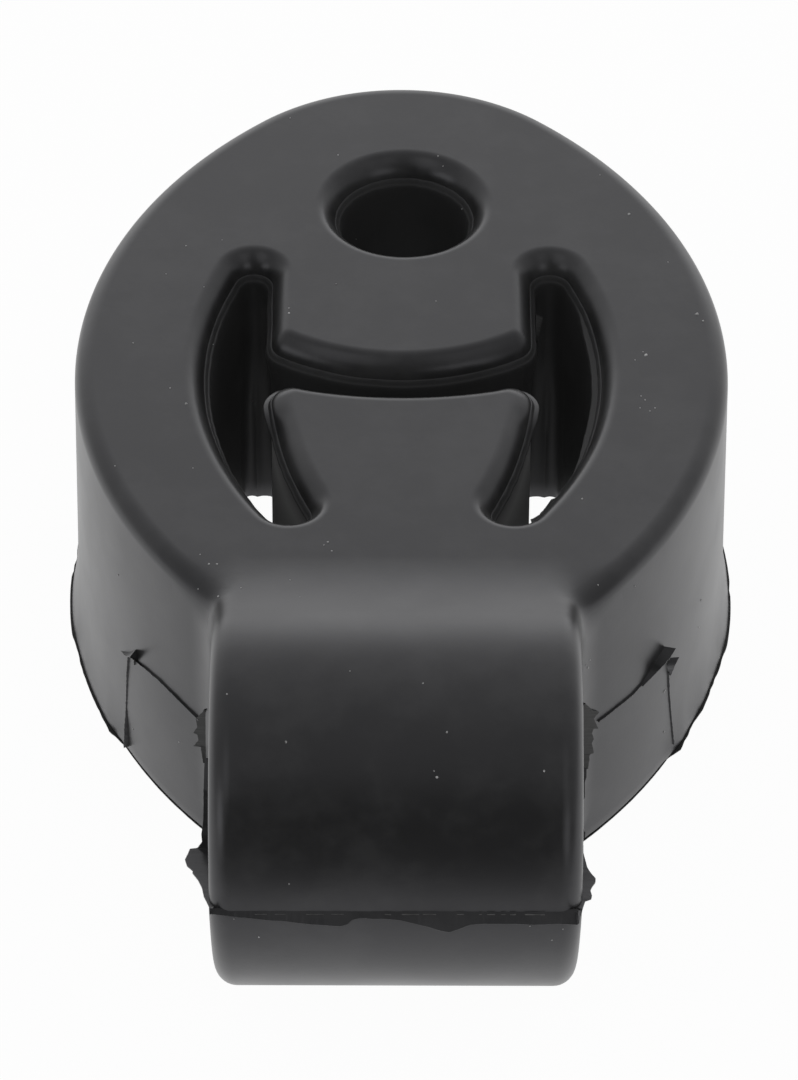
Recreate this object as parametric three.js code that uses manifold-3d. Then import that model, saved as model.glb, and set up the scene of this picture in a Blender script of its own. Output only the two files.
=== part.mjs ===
import * as THREE from 'three'
import { mergeVertices } from 'three/addons/utils/BufferGeometryUtils.js'
import Module from 'manifold-3d'

// Exhaust hanger, moulded in one piece from rubber. The oval body lies on its back face with the
// upright rod bore at +Y; the raised eye at -Y takes the second rod, crosswise along X.
// Millimetres. Y = 0 is the middle of the oval until the end, where the part is set on its frame.

// body
const bodyHalfWidth = 30.7
const bodyHalfLength = 42.15
const bodyEndRadius = 21.1
const bodyThickness = 30
const bodyDraft = 1
const topEdgeRadius = 1.8
const backEdgeRadius = 0.5

// upright bore and the mouth that it shares with the void
const boreRadius = 6.05
const boreCentreY = 22.55
const lipRadius = 1.9
const ledgeWidth = 0.45
const ledgeDepth = 0.5
const boreDraft = 0.6
const voidDraft = 0.2

// H-shaped void: an upper tongue and a lower anvil that nearly meet, with a crescent on each side
const tongueHalfWidth = 12.15
const tongueTipY = -1.44
const tongueTipRadius = 21
const slotGap = 3.6
const anvilTopRadius = 38
const anvilHalfWidth = 12.2
const anvilFlankRadius = 46
const anvilFlankY = -1.7
const voidHalfWidth = 18.7
const voidCentreY = -0.9
const crescentRadius = 37
const cornerRadius = 2.2
const crescentTopRadius = 1.9
const crescentFootRadius = 2.1

// eye
const eyeRadius = 17.5
const eyeCentreY = -43.35
const eyeBoreRadius = 6.05
const eyeWidth = 32.7
const eyeOffset = -0.45
const eyeEdgeRadius = 2
const eyeBlendRadius = 30
const eyeRoot = 18

// flash left along the mould's parting line
const flashThickness = 0.4
const backFlashWidth = 1
const wallFlashWidth = 0.45
const wallPartingHeight = 13.9
const eyePartingHeight = 17
const partingStepY = -22.5

// torn edge of the flash round the eye: a share of the way along each side, and how far it stands out
const leftTear = [[0.5, 0.4], [0.55, 1.95], [0.62, 2.3], [0.72, 1.6], [0.86, 0.5], [0.97, 0.3]]
const frontTear = [[-0.86, 0.6], [-0.37, 1.55], [-0.26, 1.55], [-0.21, 0.7], [0.03, 0.9],
  [0.28, 2.4], [0.4, 1.3], [0.74, 1.2], [0.97, 1.25]]
const rightTear = [[0.92, 0.35], [0.87, 1], [0.83, 0.75], [0.76, 1.35], [0.7, 0.7], [0.44, 0.45]]

const faceClearance = 1
const maxChordError = 0.05
const maxArcStep = Math.PI / 10
const roundSegments = 48
const filletSteps = 4

const midHeight = bodyThickness / 2
const rad = THREE.MathUtils.degToRad
const draftAt = (z) => Math.tan(rad(bodyDraft)) * (bodyThickness - z)
const eyeFrontY = eyeCentreY - Math.sqrt(eyeRadius ** 2 - (eyePartingHeight - midHeight) ** 2)
const wasm = await Module()
wasm.setup()

function solid(geometry) {
  geometry.deleteAttribute('normal')
  geometry.deleteAttribute('uv')
  const closed = mergeVertices(geometry, 1e-4)
  const vertProperties = new Float32Array(closed.attributes.position.array)
  const triVerts = new Uint32Array(closed.index.array)
  return new wasm.Manifold(new wasm.Mesh({ numProp: 3, vertProperties, triVerts }))
}

function meshGeometry(manifold) {
  const { vertProperties, triVerts } = manifold.getMesh()
  const geometry = new THREE.BufferGeometry()
  geometry.setAttribute('position', new THREE.BufferAttribute(vertProperties, 3))
  geometry.setIndex(new THREE.BufferAttribute(triVerts, 1))
  geometry.computeVertexNormals()
  return geometry
}

// Points along a path of arcs: each arc is cut finely enough to stay within the chord error.
function pathPoints(path) {
  const points = []
  for (const curve of path.curves) {
    let pieces = 1
    if (curve.isEllipseCurve) {
      const sweep = curve.getLength() / curve.xRadius
      const step = Math.min(maxArcStep, 2 * Math.acos(1 - maxChordError / curve.xRadius))
      pieces = Math.max(2, Math.ceil(sweep / step))
    }
    points.push(...curve.getPoints(pieces).slice(0, -1))
  }
  points.push(path.getPoint(1))
  return points.filter((point, i) => i === 0 || point.distanceTo(points[i - 1]) > 0.01)
}

function closeOutline(points) {
  const open = points[0].distanceTo(points.at(-1)) < 0.01 ? points.slice(0, -1) : points
  return THREE.ShapeUtils.isClockWise(open) ? open.reverse() : open
}

// Offsets a closed outline along its own outward normals.
function offsetOutline(outline, distance) {
  return outline.map((point, i) => {
    const before = outline.at(i - 1)
    const after = outline[(i + 1) % outline.length]
    const inEdge = point.clone().sub(before).normalize()
    const outEdge = after.clone().sub(point).normalize()
    const along = inEdge.clone().add(outEdge).normalize()
    const reach = distance / Math.max(0.5, along.dot(inEdge))
    return new THREE.Vector2(point.x + along.y * reach, point.y - along.x * reach)
  })
}

// Closed solid through one outline: each level is a height and how far the outline stands out there.
function loft(outline, levels) {
  const count = outline.length
  const rings = levels.map(({ z, out }) => offsetOutline(outline, out).map((p) => [p.x, p.y, z]))
  const index = []
  for (let k = 0; k < rings.length - 1; k++) {
    for (let i = 0; i < count; i++) {
      const a = k * count + i
      const b = k * count + (i + 1) % count
      index.push(a, b, b + count, a, b + count, a + count)
    }
  }
  const top = (rings.length - 1) * count
  for (const [a, b, c] of THREE.ShapeUtils.triangulateShape(outline, [])) {
    index.push(c, b, a, top + a, top + b, top + c)
  }
  const geometry = new THREE.BufferGeometry()
  geometry.setAttribute('position', new THREE.Float32BufferAttribute(rings.flat(2), 3))
  geometry.setIndex(index)
  return solid(geometry)
}

// One of the two points that lie at given distances from two centres.
function meet(centreA, distanceA, centreB, distanceB, side) {
  const between = centreB.clone().sub(centreA)
  const span = between.length()
  const along = (distanceA ** 2 - distanceB ** 2 + span ** 2) / (2 * span)
  const across = side * Math.sqrt(distanceA ** 2 - along ** 2)
  const unit = between.divideScalar(span)
  return new THREE.Vector2(
    centreA.x + unit.x * along - unit.y * across,
    centreA.y + unit.y * along + unit.x * across,
  )
}

const direction = (from, to) => Math.atan2(to.y - from.y, to.x - from.x)

// Four-arc oval: two end arcs and two flatter side arcs that meet them tangentially.
function ovalOutline() {
  const endCentre = bodyHalfLength - bodyEndRadius
  const sideRadius = (bodyHalfWidth ** 2 + endCentre ** 2 - bodyEndRadius ** 2)
    / (2 * (bodyHalfWidth - bodyEndRadius))
  const sideCentre = sideRadius - bodyHalfWidth
  const joint = Math.atan2(endCentre, sideCentre)
  const path = new THREE.Path()
  path.absarc(-sideCentre, 0, sideRadius, -joint, joint)
  path.absarc(0, endCentre, bodyEndRadius, joint, Math.PI - joint)
  path.absarc(sideCentre, 0, sideRadius, Math.PI - joint, Math.PI + joint)
  path.absarc(0, -endCentre, bodyEndRadius, Math.PI + joint, 2 * Math.PI - joint)
  return closeOutline(pathPoints(path))
}

// Right half of the void's mouth, from the tongue's tip round the crescent to the anvil's middle.
function voidOutline() {
  const anvilTopY = tongueTipY - slotGap
  const tongue = new THREE.Vector2(0, tongueTipY + tongueTipRadius)
  const crescent = new THREE.Vector2(voidHalfWidth - crescentRadius, voidCentreY)
  const flank = new THREE.Vector2(anvilHalfWidth - anvilFlankRadius, anvilFlankY)
  const anvil = new THREE.Vector2(0, anvilTopY + anvilTopRadius)

  const cornerX = tongueHalfWidth - cornerRadius
  const corner = new THREE.Vector2(cornerX, tongue.y - Math.sqrt((tongueTipRadius - cornerRadius) ** 2
    - cornerX ** 2))
  const capX = tongueHalfWidth + crescentTopRadius
  const cap = new THREE.Vector2(capX, crescent.y + Math.sqrt((crescentRadius - crescentTopRadius) ** 2
    - (capX - crescent.x) ** 2))
  const foot = meet(crescent, crescentRadius - crescentFootRadius,
    flank, anvilFlankRadius + crescentFootRadius, 1)
  const shoulder = meet(flank, anvilFlankRadius - cornerRadius, anvil, anvilTopRadius + cornerRadius, -1)

  const path = new THREE.Path()
  path.absarc(tongue.x, tongue.y, tongueTipRadius, -Math.PI / 2, direction(tongue, corner))
  path.absarc(corner.x, corner.y, cornerRadius, direction(tongue, corner), 0)
  path.absarc(cap.x, cap.y, crescentTopRadius, Math.PI, direction(crescent, cap), true)
  path.absarc(crescent.x, crescent.y, crescentRadius,
    direction(crescent, cap), direction(crescent, foot), true)
  path.absarc(foot.x, foot.y, crescentFootRadius,
    direction(crescent, foot), direction(foot, flank), true)
  path.absarc(flank.x, flank.y, anvilFlankRadius, direction(flank, foot), direction(flank, shoulder))
  path.absarc(shoulder.x, shoulder.y, cornerRadius,
    direction(flank, shoulder), direction(shoulder, anvil))
  path.absarc(anvil.x, anvil.y, anvilTopRadius, direction(anvil, shoulder), -Math.PI / 2, true)

  const right = pathPoints(path)
  const left = right.slice(1, -1).reverse().map((p) => new THREE.Vector2(-p.x, p.y))
  return closeOutline([...right, ...left])
}

// Section of a hole's mouth, from its narrow ledge up over the rounded lip: each step is a height
// and how far the wall stands out from the ledge's rim.
function mouthSteps(face) {
  const ledge = face - lipRadius
  const steps = [
    { z: ledge - ledgeDepth, out: -ledgeWidth },
    { z: ledge - ledgeDepth * 0.3, out: -ledgeWidth * 0.8 },
    { z: ledge, out: 0 },
  ]
  for (let i = 1; i <= filletSteps; i++) {
    const turn = (i / filletSteps) * Math.PI / 2
    steps.push({ z: ledge + lipRadius * Math.sin(turn), out: lipRadius * (1 - Math.cos(turn)) })
  }
  steps.push({ z: face + faceClearance, out: lipRadius })
  return steps
}

// A hole through the body: one mouth, on the front face, and draft down to a sharp back edge.
function bodyHoleLevels(draft) {
  const mouth = mouthSteps(bodyThickness)
  const taper = Math.tan(rad(draft)) * (mouth[0].z + faceClearance)
  return [{ z: -faceClearance, out: -ledgeWidth - taper }, ...mouth]
}

// A hole with a mouth at both ends, about its own middle.
function doubleMouthLevels(halfDepth) {
  const upper = mouthSteps(halfDepth)
  const lower = upper.map(({ z, out }) => ({ z: -z, out })).reverse()
  return [...lower, ...upper]
}

// Round plug as a turned section about +Z, wide enough for its ledge to keep the bore's radius.
function roundPlug(radius, levels) {
  const profile = levels.map(({ z, out }) => new THREE.Vector2(radius + ledgeWidth + out, z))
  profile.unshift(new THREE.Vector2(0, levels[0].z))
  profile.push(new THREE.Vector2(0, levels.at(-1).z))
  return new THREE.LatheGeometry(profile, roundSegments).rotateX(Math.PI / 2)
}

function bodySolid(oval) {
  const levels = [
    { z: 0, out: draftAt(0) - backEdgeRadius },
    { z: backEdgeRadius, out: draftAt(backEdgeRadius) },
    { z: bodyThickness - topEdgeRadius, out: draftAt(bodyThickness - topEdgeRadius) },
  ]
  for (let i = 1; i <= filletSteps; i++) {
    const turn = (i / filletSteps) * Math.PI / 2
    levels.push({
      z: bodyThickness - topEdgeRadius * (1 - Math.sin(turn)),
      out: -topEdgeRadius * (1 - Math.cos(turn)),
    })
  }
  return loft(oval, levels)
}

// Side view of the eye: the body's two faces sweep up and down onto a full round.
function eyeSection() {
  const reach = Math.sqrt((eyeRadius + eyeBlendRadius) ** 2 - (midHeight + eyeBlendRadius) ** 2)
  const tilt = Math.atan2(midHeight + eyeBlendRadius, reach)
  const blendY = eyeCentreY + reach
  const section = new THREE.Shape()
  section.moveTo(blendY + eyeRoot, bodyThickness)
  section.lineTo(blendY, bodyThickness)
  section.absarc(blendY, bodyThickness + eyeBlendRadius, eyeBlendRadius,
    -Math.PI / 2, -Math.PI + tilt, true)
  section.absarc(eyeCentreY, midHeight, eyeRadius, tilt, 2 * Math.PI - tilt)
  section.absarc(blendY, -eyeBlendRadius, eyeBlendRadius, Math.PI - tilt, Math.PI / 2, true)
  section.lineTo(blendY + eyeRoot, 0)
  return section
}

function eyeSolid() {
  const plate = new THREE.ExtrudeGeometry(eyeSection(), {
    depth: eyeWidth - 2 * eyeEdgeRadius,
    curveSegments: 22,
    bevelThickness: eyeEdgeRadius,
    bevelSize: eyeEdgeRadius,
    bevelOffset: -eyeEdgeRadius,
    bevelSegments: 3,
  })
  plate.translate(0, 0, eyeEdgeRadius - eyeWidth / 2 + eyeOffset)
  const axes = [new THREE.Vector3(0, 1, 0), new THREE.Vector3(0, 0, 1), new THREE.Vector3(1, 0, 0)]
  plate.applyMatrix4(new THREE.Matrix4().makeBasis(...axes))
  return solid(plate)
}

function box(xSize, ySize, zSize, x, y, z) {
  return solid(new THREE.BoxGeometry(xSize, ySize, zSize).translate(x, y, z))
}

// Plan of the flash round the eye, down its left side, across its front and up its right side.
function tearOutline() {
  const halfWidth = eyeWidth / 2
  const sideLength = eyeCentreY - eyeFrontY
  const left = leftTear.map(([along, out]) => (
    new THREE.Vector2(eyeOffset - halfWidth - out, eyeCentreY - sideLength * along)))
  const front = frontTear.map(([across, out]) => (
    new THREE.Vector2(eyeOffset + halfWidth * across, eyeFrontY - out)))
  const right = rightTear.map(([along, out]) => (
    new THREE.Vector2(eyeOffset + halfWidth + out, eyeCentreY - sideLength * along)))
  return new THREE.Shape([...left, ...front, ...right])
}

// The mould parts along the back edge behind the step, and higher up in front of it: part way up the
// body's wall, and round the front of the eye.
function flashSolid(oval) {
  const span = 2 * bodyHalfLength
  const half = flashThickness / 2
  const plate = (z, width) => {
    const out = draftAt(z) + width
    return loft(oval, [{ z: z - half, out }, { z: z + half, out }])
  }
  const behind = box(span, span, span, 0, partingStepY + bodyHalfLength, 0)
  const front = box(span, span, span, 0, partingStepY - bodyHalfLength, wallPartingHeight)
  const backRim = plate(half, backFlashWidth).intersect(behind)
  const wallRim = plate(wallPartingHeight, wallFlashWidth).intersect(front)
  const step = loft(oval, [half, wallPartingHeight].map((z) => ({ z, out: draftAt(z) + wallFlashWidth })))
    .intersect(box(span, flashThickness, span, 0, partingStepY, 0))
  const tear = new THREE.ExtrudeGeometry(tearOutline(), { depth: flashThickness, bevelEnabled: false })
    .translate(0, 0, eyePartingHeight - half)
  return backRim.add(wallRim).add(step).add(solid(tear))
}

function hangerSolid() {
  const oval = ovalOutline()
  const boreRim = boreRadius + Math.tan(rad(boreDraft)) * (bodyThickness - lipRadius - ledgeDepth)
  const uprightBore = roundPlug(boreRim, bodyHoleLevels(boreDraft)).translate(0, boreCentreY, 0)
  const crossBore = roundPlug(eyeBoreRadius, doubleMouthLevels(eyeWidth / 2))
    .rotateY(Math.PI / 2).translate(eyeOffset, eyeCentreY, midHeight)
  return bodySolid(oval)
    .add(eyeSolid())
    .add(flashSolid(oval))
    .subtract(loft(voidOutline(), bodyHoleLevels(voidDraft)))
    .subtract(solid(uprightBore))
    .subtract(solid(crossBore))
}

// The frame stands under the middle of the whole part, at the lowest line of the eye.
const rearY = bodyHalfLength + draftAt(flashThickness / 2) + backFlashWidth
const frontY = eyeFrontY - Math.max(...frontTear.map(([, out]) => out))
const rubber = new THREE.MeshStandardMaterial({ color: 0x1d1d1e, roughness: 0.55, metalness: 0 })

const hanger = new THREE.Mesh(meshGeometry(hangerSolid()), rubber)
hanger.name = 'rubber_hanger'
hanger.position.set(0, -(rearY + frontY) / 2, eyeRadius - midHeight)

const group = new THREE.Group()
group.add(hanger)
export default group
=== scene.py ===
import math

import bmesh
import bpy
import numpy as np
from mathutils import Matrix
from mathutils.bvhtree import BVHTree
from mathutils.geometry import delaunay_2d_cdt


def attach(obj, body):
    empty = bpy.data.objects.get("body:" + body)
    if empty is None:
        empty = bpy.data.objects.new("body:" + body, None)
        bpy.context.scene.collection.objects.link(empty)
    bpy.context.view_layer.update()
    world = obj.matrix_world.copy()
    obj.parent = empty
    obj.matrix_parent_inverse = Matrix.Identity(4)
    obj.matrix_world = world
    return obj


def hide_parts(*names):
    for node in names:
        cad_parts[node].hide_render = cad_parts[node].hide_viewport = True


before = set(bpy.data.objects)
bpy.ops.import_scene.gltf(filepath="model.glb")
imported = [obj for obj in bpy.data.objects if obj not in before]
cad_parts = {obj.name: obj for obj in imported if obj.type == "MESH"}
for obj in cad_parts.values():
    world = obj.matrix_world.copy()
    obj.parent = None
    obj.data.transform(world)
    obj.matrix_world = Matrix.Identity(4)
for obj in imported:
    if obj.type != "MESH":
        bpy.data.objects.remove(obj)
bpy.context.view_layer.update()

# Everything is drawn in millimetres about the middle of the oval body, with z = 0 on its back face,
# and put on the frame when a mesh is made.
body = {
    "halfWidth": 30.7, "halfLength": 42.15, "endRadius": 21.1, "thickness": 30.0,
    "draft": 1.0, "topEdge": 1.8, "backEdge": 0.5, "spacing": 0.42, "grid": 1.1,
}
bore = {"radius": 6.28, "centreX": 0.27, "centreY": 22.55, "draft": 0.6}
mouth = {
    "lipWidth": 1.9, "lip": 2.1, "rise": 0.22, "ledge": 0.45, "ledgeDepth": 0.5, "flatRing": 0.12,
    "wander": 0.014,
}
void = {
    "tongueHalfWidth": 12.3, "tongueTipY": -1.44, "tongueTipRadius": 21.0, "slot": 3.6,
    "anvilTopRadius": 38.0, "anvilHalfWidth": 12.2, "anvilFlankRadius": 46.0, "anvilFlankY": -1.7,
    "halfWidth": 18.7, "centreY": -0.9, "crescentRadius": 37.0, "corner": 2.2,
    "crescentTop": 1.9, "crescentFoot": 2.1, "draft": 0.2, "spacing": 0.32,
    "crescentShift": 0.13, "crescentX": 13.0, "cornerIn": 0.6, "cornerReach": 0.44, "cornerSpan": 2.7,
    "cornerDrop": 0.3, "cornerLift": 1.0, "rightLedge": 0.45, "leftLedge": 0.06, "broadX": 15.0,
    "broadTop": 11.0, "broadFoot": -15.0, "flankShift": 0.5, "flankX": 13.4, "flankTop": -3.5,
    "capSquare": 0.45, "capY": 12.0,
}
eye = {
    "radius": 17.5, "centreY": -43.35, "bore": 6.05, "width": 32.87, "offset": -0.45, "edge": 2.0,
    "blend": 30.0, "root": 3.0, "sunk": 0.004, "draft": 0.0245, "partingHeight": 17.0,
    "spacing": 0.4, "boreSpacing": 0.3, "grid": 1.2,
}
flash = {"thickness": 0.4, "backWidth": 1.0, "tearReach": 2.4}

midHeight = body["thickness"] / 2
draftSlope = math.tan(math.radians(body["draft"]))
wallFoot = draftSlope * (body["thickness"] - body["backEdge"])
lipFoot = body["thickness"] - mouth["lip"]
ledgeFoot = lipFoot - mouth["ledgeDepth"]
endCentre = body["halfLength"] - body["endRadius"]
sideRadius = ((body["halfWidth"] ** 2 + endCentre ** 2 - body["endRadius"] ** 2)
              / (2 * (body["halfWidth"] - body["endRadius"])))
sideCentre = sideRadius - body["halfWidth"]
blendRise = midHeight + eye["blend"] - eye["sunk"]
blendReach = math.sqrt((eye["radius"] + eye["blend"]) ** 2 - blendRise ** 2)
eyeFrontY = eye["centreY"] - math.sqrt(eye["radius"] ** 2 - (eye["partingHeight"] - midHeight) ** 2)
rearY = body["halfLength"] + draftSlope * (body["thickness"] - flash["thickness"] / 2)
rearY = rearY + flash["backWidth"]
frameShift = np.array([0.0, -(rearY + eyeFrontY - flash["tearReach"]) / 2, eye["radius"] - midHeight])


def toFrame(points):
    # millimetres about the body's middle, to metres on the frame
    return (np.asarray(points, float) + frameShift) * 0.001


# Outlines: each stretch is sampled as centre + radius * (cos a, sin a), with the outward normal beside
# it, so that an outline moved out by d is exactly points + d * normals.
def arcStretch(centre, radius, start, end, spacing, side):
    count = max(3, math.ceil(abs(end - start) * radius / spacing))
    angle = np.linspace(start, end, count + 1)
    radial = np.stack([np.cos(angle), np.sin(angle)], 1)
    return np.asarray(centre) + radius * radial, radial * side * np.sign(end - start)


def lineStretch(start, end, spacing, side):
    start, end = np.asarray(start, float), np.asarray(end, float)
    along = end - start
    count = max(1, math.ceil(np.hypot(*along) / spacing))
    share = np.linspace(0, 1, count + 1)[:, None]
    normal = np.array([along[1], -along[0]]) / np.hypot(*along) * side
    return start + share * along, np.repeat(normal[None], count + 1, 0)


def joinStretches(stretches):
    # one chain of stretches, each without its last point, which is the next one's first
    points = np.concatenate([p[:-1] for p, n in stretches])
    normals = np.concatenate([n[:-1] for p, n in stretches])
    return points, normals


def smooth(value, low, high):
    # from 0 at low to 1 at high
    share = np.clip((value - low) / (high - low), 0, 1)
    return share * share * (3 - 2 * share)


def heading(a, b):
    return math.atan2(b[1] - a[1], b[0] - a[0])


def meet(centreA, distanceA, centreB, distanceB, side):
    # the point at given distances from two centres, on one side of the line between them
    a, b = np.asarray(centreA, float), np.asarray(centreB, float)
    span = np.hypot(*(b - a))
    along = (distanceA ** 2 - distanceB ** 2 + span ** 2) / (2 * span)
    across = side * math.sqrt(distanceA ** 2 - along ** 2)
    unit = (b - a) / span
    return a + unit * along + np.array([-unit[1], unit[0]]) * across


def ovalOutline(spacing):
    # two end arcs and two flatter side arcs that meet them tangentially, counterclockwise
    endRadius, joint = body["endRadius"], math.atan2(endCentre, sideCentre)
    return joinStretches([
        arcStretch((-sideCentre, 0), sideRadius, -joint, joint, spacing, 1),
        arcStretch((0, endCentre), endRadius, joint, math.pi - joint, spacing, 1),
        arcStretch((sideCentre, 0), sideRadius, math.pi - joint, math.pi + joint, spacing, 1),
        arcStretch((0, -endCentre), endRadius, math.pi + joint, 2 * math.pi - joint, spacing, 1),
    ])


def voidOutline(spacing):
    # right half: tongue tip, its corner and side, crescent, anvil flank, shoulder and top; then mirrored
    v = void
    tongue = np.array([0, v["tongueTipY"] + v["tongueTipRadius"]])
    crescent = np.array([v["halfWidth"] - v["crescentRadius"], v["centreY"]])
    flank = np.array([v["anvilHalfWidth"] - v["anvilFlankRadius"], v["anvilFlankY"]])
    anvil = np.array([0, v["tongueTipY"] - v["slot"] + v["anvilTopRadius"]])
    cornerX = v["tongueHalfWidth"] - v["corner"]
    corner = np.array([cornerX, tongue[1] - math.sqrt((v["tongueTipRadius"] - v["corner"]) ** 2
                                                      - cornerX ** 2)])
    capX = v["tongueHalfWidth"] + v["crescentTop"]
    cap = np.array([capX, crescent[1] + math.sqrt((v["crescentRadius"] - v["crescentTop"]) ** 2
                                                  - (capX - crescent[0]) ** 2)])
    foot = meet(crescent, v["crescentRadius"] - v["crescentFoot"],
                flank, v["anvilFlankRadius"] + v["crescentFoot"], 1)
    shoulder = meet(flank, v["anvilFlankRadius"] - v["corner"],
                    anvil, v["anvilTopRadius"] + v["corner"], -1)

    def arc(centre, radius, start, end):
        return arcStretch(centre, radius, start, end, spacing, -1)

    half = math.pi / 2
    footEnd = heading(foot, flank)
    stretches = [
        arc(tongue, v["tongueTipRadius"], -half, heading(tongue, corner)),
        arc(corner, v["corner"], heading(tongue, corner), 0),
        lineStretch((v["tongueHalfWidth"], corner[1]), (v["tongueHalfWidth"], cap[1]), spacing, -1),
        arc(cap, v["crescentTop"], math.pi, heading(crescent, cap)),
        arc(crescent, v["crescentRadius"], heading(crescent, cap), heading(crescent, foot)),
        arc(foot, v["crescentFoot"], heading(crescent, foot), footEnd - 2 * math.pi * (footEnd > 0)),
        arc(flank, v["anvilFlankRadius"], heading(flank, foot), heading(flank, shoulder)),
        arc(shoulder, v["corner"], heading(flank, shoulder), heading(shoulder, anvil)),
        arc(anvil, v["anvilTopRadius"], heading(anvil, shoulder), -half),
    ]
    points, normals = joinStretches(stretches)
    last = stretches[-1]
    right = np.concatenate([points, last[0][-1:]]), np.concatenate([normals, last[1][-1:]])
    left = [a[1:-1][::-1] * np.array([-1, 1]) for a in right]
    points, normals = (np.concatenate([a, b]) for a, b in zip(right, left))
    return points[::-1], normals[::-1]


def circleOutline(centre, radius, spacing):
    return joinStretches([arcStretch(centre, radius, 0, 2 * math.pi, spacing, 1)])


def wander(count, size, waves, seed):
    # slow, closed unevenness along an outline: a sum of sines with seeded phases
    random = np.random.default_rng(seed)
    u = np.linspace(0, 2 * math.pi, count, endpoint=False)
    order = random.integers(waves[0], waves[1], 14)
    phase = random.uniform(0, 2 * math.pi, 14)
    return size * np.sin(order[:, None] * u + phase[:, None]).sum(0) / math.sqrt(7)


# A profile carried along an outline: point (u, v) = outline(u) + (out(v) + extra(v, u)) * normal(u),
# at height z(v).
def carried(outline, profile, extra=0):
    points, normals = outline
    height, out = np.asarray(profile, float).T
    reach = out[:, None] + np.zeros(len(points)) + extra
    flat = points[None] + reach[..., None] * normals[None]
    heights = np.broadcast_to(height[:, None, None], flat.shape[:2] + (1,))
    return np.concatenate([flat, heights], 2)


def gridFaces(rows, columns, inward=False):
    # quads between neighbouring rows of a closed loop of columns
    row, column = np.meshgrid(np.arange(rows - 1), np.arange(columns), indexing="ij")
    after = (column + 1) % columns
    quads = np.stack([row * columns + column, row * columns + after,
                      (row + 1) * columns + after, (row + 1) * columns + column], -1).reshape(-1, 4)
    return quads[:, ::-1] if inward else quads


def insideLoop(points, loop):
    # even-odd rule, for all points and all edges of the loop at once
    x, y = points[:, 0, None], points[:, 1, None]
    ax, ay = loop.T
    bx, by = np.roll(loop, -1, 0).T
    crosses = (ay > y) != (by > y)
    safe = np.where(by == ay, 1.0, by - ay)
    return (np.sum(crosses & (x < (bx - ax) * (y - ay) / safe + ax), 1) % 2).astype(bool)


def flatFace(outer, holes, step):
    # triangles between an outer loop and the holes in it, over a staggered grid of inner points
    low, high = outer.min(0), outer.max(0)
    rows = np.arange(low[1], high[1], step * 0.866)
    columns = np.arange(low[0], high[0], step)
    x, y = np.meshgrid(columns, rows)
    x = x + (np.arange(len(rows)) % 2)[:, None] * step / 2
    grid = np.stack([x.ravel(), y.ravel()], 1)
    keep = insideLoop(grid, outer)
    for hole in holes:
        keep &= ~insideLoop(grid, hole)
    grid = grid[keep]
    loops = [outer, *holes]
    rim = np.concatenate(loops)
    gap = np.concatenate([np.hypot(*(part[:, None] - rim[None]).transpose(2, 0, 1)).min(1)
                          for part in np.array_split(grid, 8)])
    grid = grid[gap > step * 0.5]
    edges, first = [], 0
    for loop in loops:
        index = first + np.arange(len(loop))
        edges += np.stack([index, np.roll(index, -1)], 1).tolist()
        first += len(loop)
    points = np.concatenate([rim, grid])
    made = delaunay_2d_cdt(points.tolist(), edges, [], 0, 1e-7)
    corners = np.array([tuple(p) for p in made[0]])
    faces = np.array(made[2])
    centre = corners[faces].mean(1)
    keep = insideLoop(centre, outer)
    for hole in holes:
        keep &= ~insideLoop(centre, hole)
    return corners, faces[keep]


def placed(corners, height):
    return np.concatenate([corners, np.full((len(corners), 1), float(height))], 1)


class Shell:
    # collects surfaces as whole arrays and welds them into one mesh
    def __init__(self):
        self.points, self.faces, self.count = [], [], 0

    def add(self, points, *groups):
        # each group holds faces with the same number of corners
        points = np.asarray(points, float).reshape(-1, 3)
        self.points.append(points)
        for faces in groups:
            self.faces += (np.asarray(faces) + self.count).tolist()
        self.count += len(points)

    def build(self, name, weld=0.0005):
        mesh = bpy.data.meshes.new(name)
        mesh.from_pydata(np.concatenate(self.points).tolist(), [], self.faces)
        work = bmesh.new()
        work.from_mesh(mesh)
        bmesh.ops.remove_doubles(work, verts=work.verts, dist=weld)
        bmesh.ops.recalc_face_normals(work, faces=work.faces)
        work.to_mesh(mesh)
        work.free()
        return mesh


def readPoints(mesh):
    points = np.empty(len(mesh.vertices) * 3)
    mesh.vertices.foreach_get("co", points)
    return points.reshape(-1, 3)


def writePoints(mesh, points):
    mesh.vertices.foreach_set("co", points.ravel())
    mesh.update()


def newObject(name, mesh):
    piece = bpy.data.objects.new(name, mesh)
    bpy.context.scene.collection.objects.link(piece)
    return piece


def quarter(steps):
    # sine and cosine over a quarter turn, without the starting point
    turn = np.linspace(0, math.pi / 2, steps + 1)[1:]
    return np.sin(turn), np.cos(turn)


def lipCurve(steps=16):
    # from the flat face down to the ring, by its slope: quick at the face, slack midway, steep below
    share = (np.arange(steps) + 0.5) / steps
    slope = np.radians(np.interp(share, [0, 0.1, 0.32, 0.58, 0.8, 1], [0, 9, 33, 43, 60, 78]))
    across, down = np.cumsum(np.cos(slope)), np.cumsum(np.sin(slope))
    return across / across[-1] * mouth["lipWidth"], down / down[-1] * mouth["lip"]


def mouthProfile(face):
    # from the wall, over two thin ridges with a steep band between them, up the lip to the face
    ring, ledge = face - mouth["lip"], mouth["ledge"]
    low = ring - mouth["ledgeDepth"]
    wall = [(low + up, out - ledge) for up, out in (
        (-1.6, -0.15), (-0.8, -0.13), (-0.4, -0.1), (-0.18, -0.05), (-0.05, 0), (0, 0.06), (0.04, 0.11))]
    band = wall + [(low + 0.2, -ledge * 0.56), (ring - 0.12, -ledge * 0.33),
                   (ring - 0.04, -0.08), (ring - 0.01, -0.03), (ring, 0)]
    across, down = lipCurve()
    lip = np.stack([face - down[::-1], mouth["lipWidth"] - across[::-1]], 1)[1:]
    top = [(face, mouth["lipWidth"]), (face, mouth["lipWidth"] + mouth["flatRing"])]
    return np.concatenate([band, lip, top])


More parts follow.
